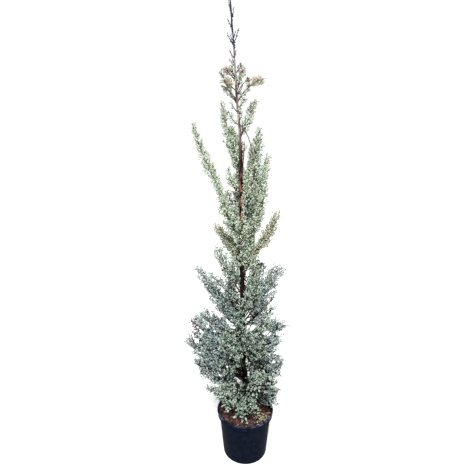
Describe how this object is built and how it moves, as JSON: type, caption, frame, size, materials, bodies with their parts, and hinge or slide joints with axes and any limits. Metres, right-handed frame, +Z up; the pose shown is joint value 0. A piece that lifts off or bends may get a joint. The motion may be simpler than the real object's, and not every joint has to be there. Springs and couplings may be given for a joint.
{
  "type": "potted arizona cypress tree",
  "caption": "Young narrow arizona cypress in a round nursery pot: a slender trunk with short boughs and upswept masses of blue-grey scale foliage, a bare leader at the top.",
  "frame": {"origin": "centre of the pot's flat underside, on the level surface that the pot stands on", "axes": "+Z up the tree, from the pot to the leader's tip; -Y towards the front, as the picture sees it; +X to the picture's right"},
  "size_m": [0.499, 0.3518, 2.091],
  "materials": {
    "pot": "matte",
    "potting_mix": "matte",
    "bark": "matte",
    "foliage": "matte"
  },
  "bodies": {
    "root": {"bough_apron_front": "bark", "bough_broad_left": "bark", "bough_broad_right": "bark", "bough_long_left": "bark", "bough_olive_right": "bark", "bough_shoulder_outer": "bark", "bough_shoulder_right": "bark", "bough_skirt_left_high": "bark", "bough_skirt_left_low": "bark", "bough_skirt_left_mid": "bark", "bough_skirt_right_high": "bark", "bough_skirt_right_low": "bark", "bough_skirt_right_mid": "bark", "bough_upper_left": "bark", "foliage_apron_front": "foliage", "foliage_back_1": "foliage", "foliage_back_3": "foliage", "foliage_back_5": "foliage", "foliage_back_7": "foliage", "foliage_broad_left": "foliage", "foliage_broad_left_inner": "foliage", "foliage_broad_right": "foliage", "foliage_flank_right": "foliage", "foliage_front_2": "foliage", "foliage_front_4": "foliage", "foliage_front_6": "foliage", "foliage_hip_left": "foliage", "foliage_hip_right": "foliage", "foliage_inner_left": "foliage", "foliage_leader_left": "foliage", "foliage_leader_low": "foliage", "foliage_leader_right": "foliage", "foliage_long_left": "foliage", "foliage_olive_left": "foliage", "foliage_olive_right": "foliage", "foliage_ring_back_first": "foliage", "foliage_ring_back_second": "foliage", "foliage_ring_front_first": "foliage", "foliage_ring_front_second": "foliage", "foliage_shoulder_low": "foliage", "foliage_shoulder_outer": "foliage", "foliage_shoulder_right": "foliage", "foliage_skirt_left_high": "foliage", "foliage_skirt_left_low": "foliage", "foliage_skirt_left_mid": "foliage", "foliage_skirt_left_upper": "foliage", "foliage_skirt_right_high": "foliage", "foliage_skirt_right_low": "foliage", "foliage_skirt_right_mid": "foliage", "foliage_skirt_right_outer": "foliage", "foliage_top_left": "foliage", "foliage_top_right": "foliage", "foliage_upper_left": "foliage", "foliage_upper_right": "foliage", "foliage_waist_left": "foliage", "foliage_waist_right": "foliage", "pot": "pot", "potting_mix": "potting_mix", "trunk": "bark"}
  },
  "joints": []
}
